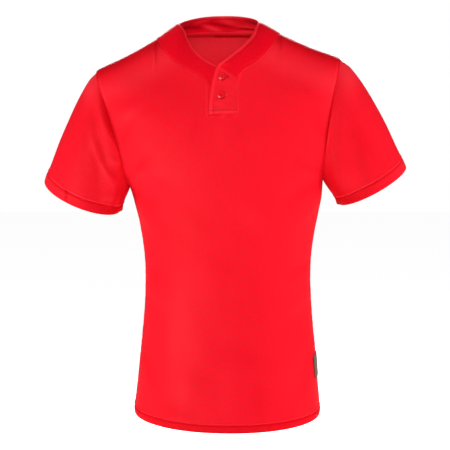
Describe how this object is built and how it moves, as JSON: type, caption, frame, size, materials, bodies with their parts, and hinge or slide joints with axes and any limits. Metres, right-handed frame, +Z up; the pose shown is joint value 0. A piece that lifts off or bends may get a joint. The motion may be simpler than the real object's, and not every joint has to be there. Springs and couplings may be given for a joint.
{
  "type": "baseball jersey",
  "caption": "Short-sleeved knit sports jersey with a banded neck and a short buttoned placket, filled out as if worn, open at neck, hem, cuffs and armholes",
  "frame": {"origin": "Middle of the neck at the level of the base of the neck, where a wearer's neck holds the jersey", "axes": "+Z up, +X to the wearer's left, the front faces -Y"},
  "size_m": [0.6523, 0.2355, 0.7304],
  "materials": {
    "jersey_knit": "fine mesh knit polyester, slight sheen",
    "band_cloth": "smooth closely knit polyester",
    "tape": "matt woven tape",
    "label": "plain woven label",
    "button": "polished"
  },
  "bodies": {
    "root": {"front": "jersey_knit", "back": "jersey_knit", "sleeve_right": "jersey_knit", "sleeve_left": "jersey_knit", "neck_band": "band_cloth", "placket_over": "band_cloth", "placket_under": "band_cloth", "neck_tape": "tape", "side_label": "label", "button_top": "button", "button_bottom": "button"}
  },
  "joints": []
}
